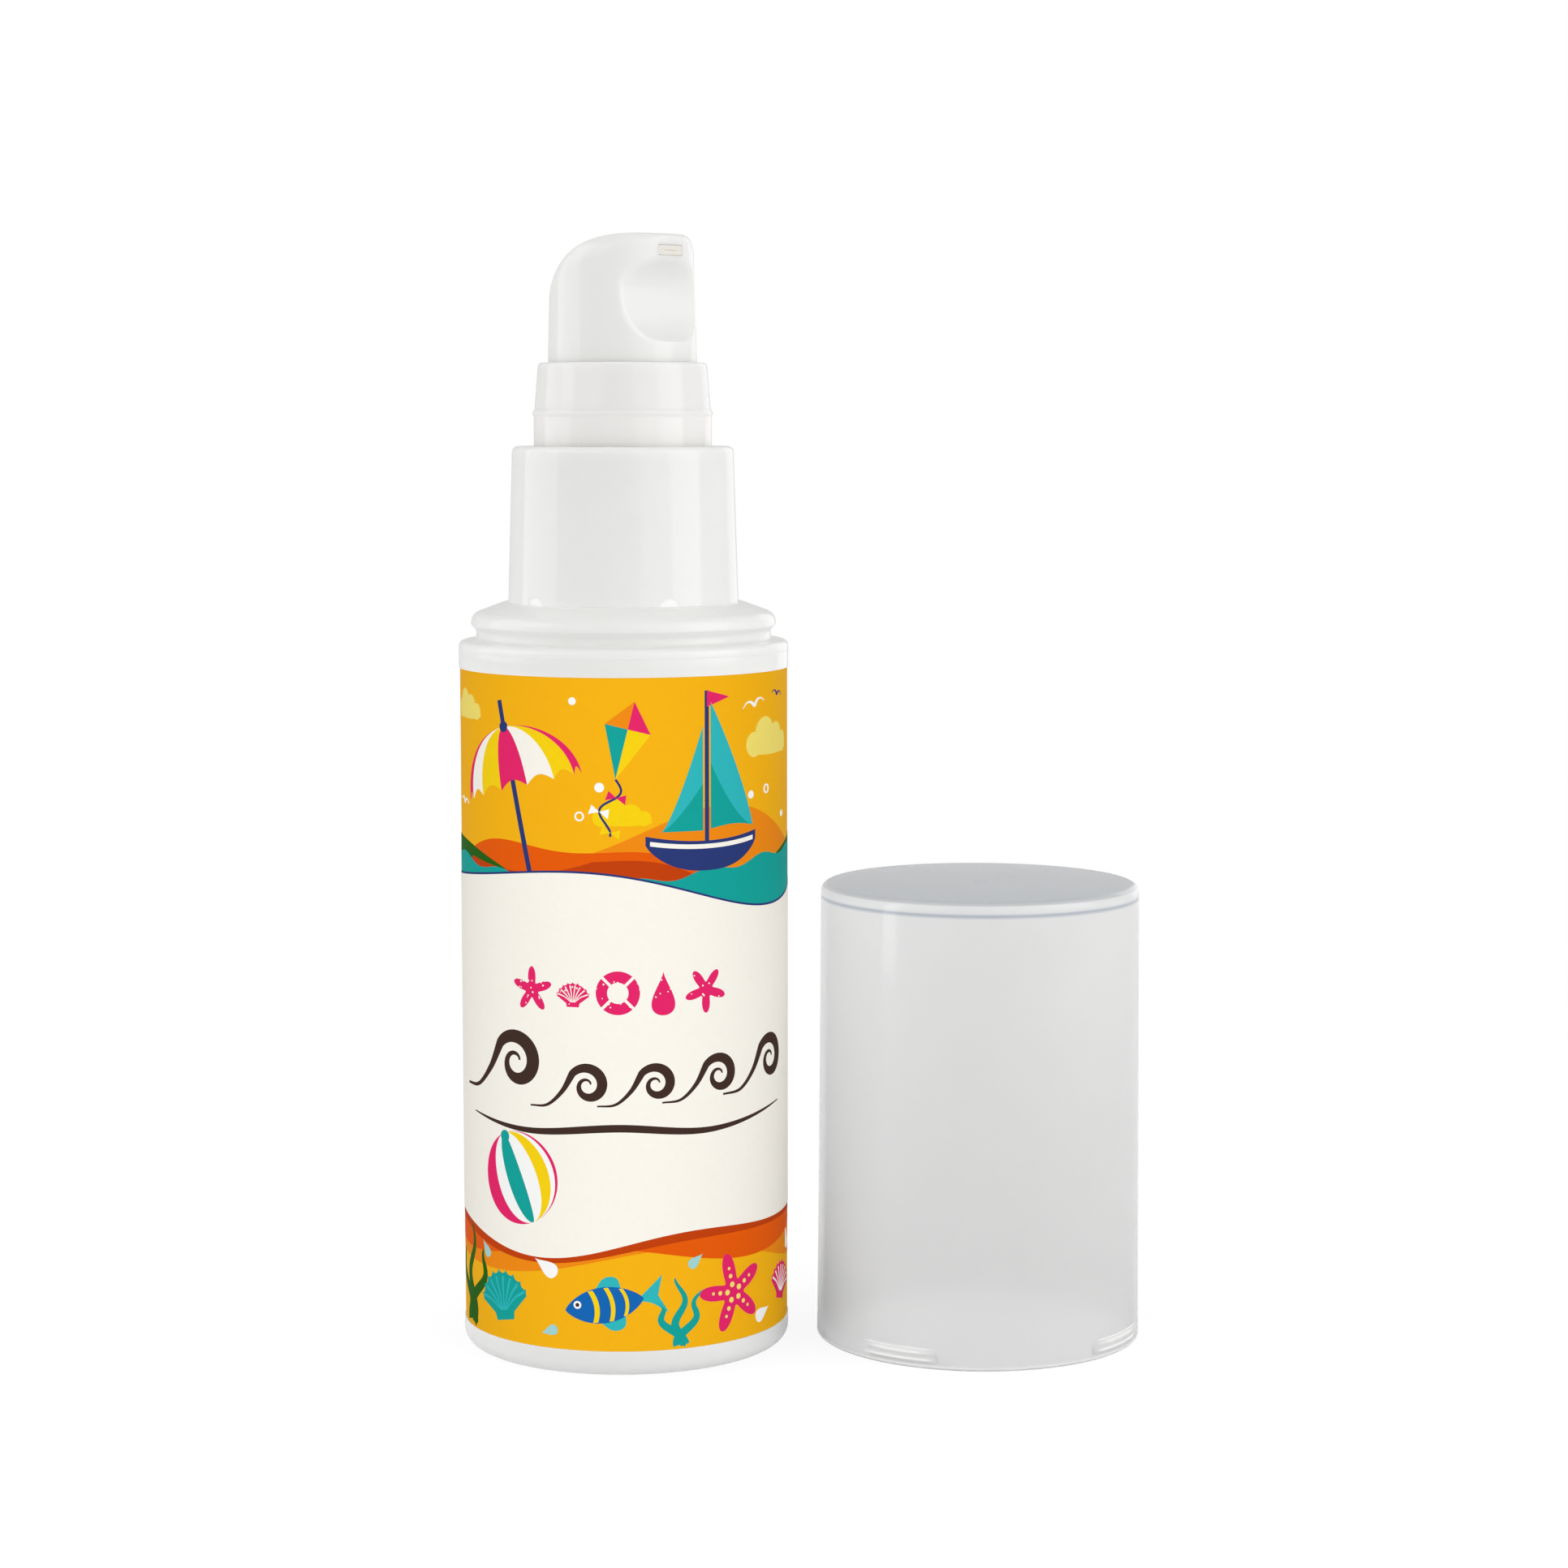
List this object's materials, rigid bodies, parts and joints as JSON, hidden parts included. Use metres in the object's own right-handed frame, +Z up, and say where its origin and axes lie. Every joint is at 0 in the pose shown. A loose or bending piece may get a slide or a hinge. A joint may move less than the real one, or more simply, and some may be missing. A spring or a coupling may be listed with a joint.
{
  "type": "airless pump bottle with overcap",
  "caption": "White cylindrical airless pump bottle with a wrapped printed label, a snap-fitted pump whose head presses down and turns, and a frosted overcap standing beside it.",
  "frame": {"origin": "centre of the bottle's base, on the plane that the bottle and its overcap stand on", "axes": "+Z up along the bottle's axis, +X towards the overcap, -Y towards the viewer of the picture"},
  "size_m": [0.0731, 0.0374, 0.1181],
  "materials": {
    "white_pp": "moulded white polypropylene, soft gloss",
    "soft_white_pp": "moulded white polypropylene, inside pieces",
    "natural_pp": "natural polypropylene, translucent and slightly frosted",
    "label_film": "printed film label, satin",
    "cream_pp": "cream moulded insert",
    "piston_pe": "polyethylene, waxy",
    "gasket": "grey elastomer",
    "steel": "stainless, polished"
  },
  "bodies": {
    "bottle": {"bottle_body": "white_pp", "shoulder_ring": "white_pp", "wrap_label": "label_film", "neck_gasket": "gasket", "pump_housing": "soft_white_pp", "ball_cage": "soft_white_pp", "return_spring": "steel", "stem_guide": "soft_white_pp", "guide_sleeve": "white_pp", "snap_collar": "white_pp"},
    "plunger": {"pump_stem": "soft_white_pp", "pump_piston": "piston_pe"},
    "head": {"actuator_head": "white_pp", "nozzle_insert": "cream_pp"},
    "inlet_valve": {"inlet_ball": "steel"},
    "outlet_valve": {"outlet_ball": "steel"},
    "follower": {"follower_piston": "piston_pe"},
    "cap": {"overcap": "natural_pp"}
  },
  "joints": [
    {"name": "pump_stroke", "type": "slide", "parent": "bottle", "child": "plunger", "axis": [0, 0, -1], "range_m": [0, 0.006], "stiffness_N_per_m": 1200, "springref_m": -0.004, "deforming": ["return_spring"]},
    {"name": "head_swivel", "type": "hinge", "parent": "plunger", "child": "head", "pos_m": [0, 0, 0.1], "axis": [0, 0, 1], "continuous": true},
    {"name": "inlet_ball_lift", "type": "slide", "parent": "bottle", "child": "inlet_valve", "axis": [0, 0, 1], "range_m": [0, 0.0008]},
    {"name": "outlet_ball_lift", "type": "slide", "parent": "plunger", "child": "outlet_valve", "axis": [0, 0, 1], "range_m": [0, 0.0015]},
    {"name": "follower_rise", "type": "slide", "parent": "bottle", "child": "follower", "axis": [0, 0, 1], "range_m": [0, 0.0566]},
    {"name": "cap_lift", "type": "slide", "parent": "bottle", "child": "cap", "axis": [0, 0, 1], "range_m": [0, 0.12]}
  ]
}
